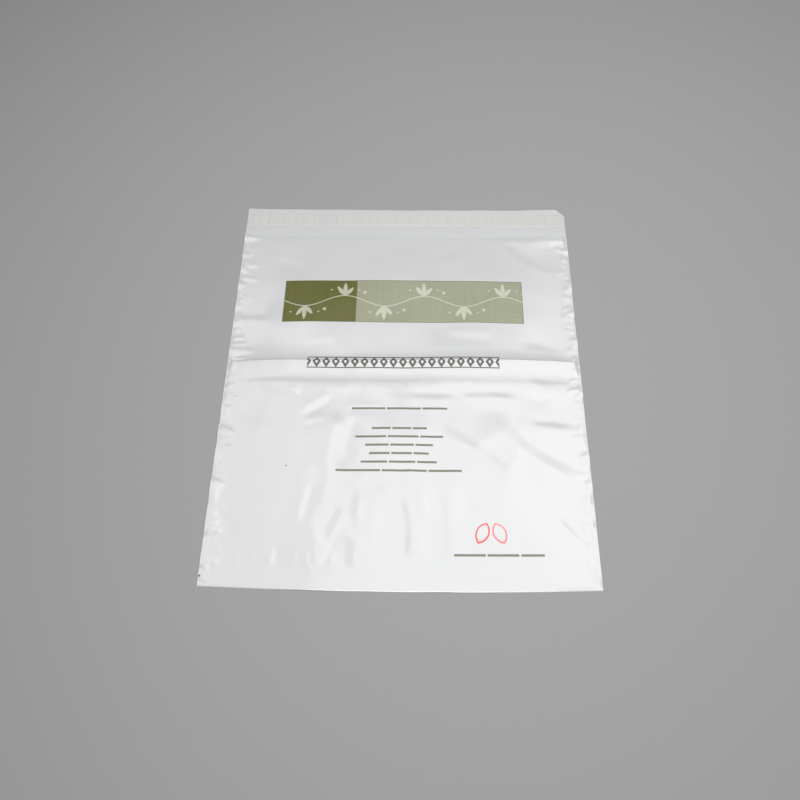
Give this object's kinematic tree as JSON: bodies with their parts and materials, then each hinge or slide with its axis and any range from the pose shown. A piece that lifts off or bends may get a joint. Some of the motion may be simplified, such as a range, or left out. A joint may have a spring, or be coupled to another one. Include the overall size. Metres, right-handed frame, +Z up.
{
  "type": "poly mailer bag",
  "caption": "Flat empty poly mailer bag with welded sides, a closing flap and an adhesive band under a peel-off liner.",
  "frame": {"origin": "on the surface the bag lies on, under the middle of its outline", "axes": "+X across the bag along its bottom fold, +Y from the bottom fold to the flap, +Z up out of the printed front panel"},
  "size_m": [0.4004, 0.5002, 0.0063],
  "materials": {
    "white_film": "gloss",
    "clear_adhesive": "satin",
    "cream_liner": "satin"
  },
  "bodies": {
    "root": {"bag_film": "white_film", "adhesive_strip": "clear_adhesive", "release_liner": "cream_liner"}
  },
  "joints": []
}
